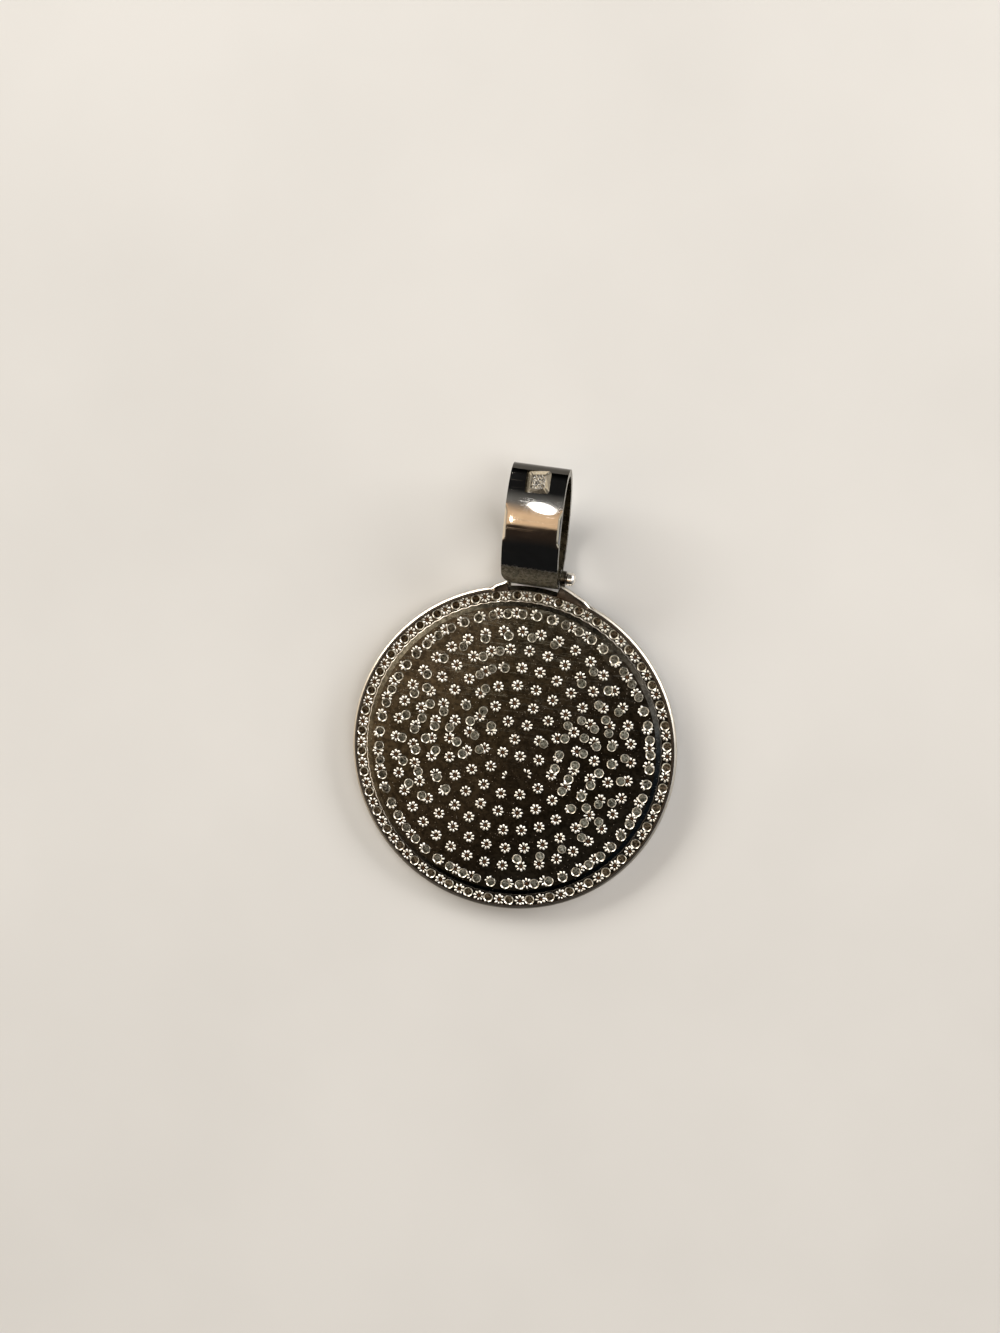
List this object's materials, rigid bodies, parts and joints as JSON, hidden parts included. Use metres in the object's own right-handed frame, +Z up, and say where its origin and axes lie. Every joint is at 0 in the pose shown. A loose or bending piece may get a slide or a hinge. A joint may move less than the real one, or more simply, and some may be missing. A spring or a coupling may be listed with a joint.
{
  "type": "coin pendant",
  "caption": "Round coin pendant, stone side down: its back carries rings of raised rosettes and open stone seats, and a wide loop bail on a hinge pin.",
  "frame": {"origin": "centre of the pendant's outline on the surface that it lies on", "axes": "+Z up from the surface toward the pendant's back, +Y from the disc to the bail, +X along the hinge pin to its head"},
  "size_m": [0.038, 0.052, 0.0084],
  "materials": {
    "plate_metal": "mirror polish on rhodium-plated silver, matt cream rosettes",
    "bail_metal": "mirror polish on rhodium-plated silver",
    "pin_metal": "polished",
    "border_stone": "clear cut stone, seen from behind",
    "field_stone": "clear cut stone, seen from behind",
    "square_stone": "clear cut stone"
  },
  "bodies": {
    "coin": {"disc": "plate_metal", "border_stones": "border_stone", "field_stones": "field_stone", "hinge_pin": "pin_metal"},
    "loop": {"bail": "bail_metal", "bail_stone": "square_stone"}
  },
  "joints": [
    {"name": "bail_swing", "type": "hinge", "parent": "coin", "child": "loop", "pos_m": [0, 0.01344, 0.00244], "axis": [1, 0, 0], "range_deg": [-38, 24]}
  ]
}
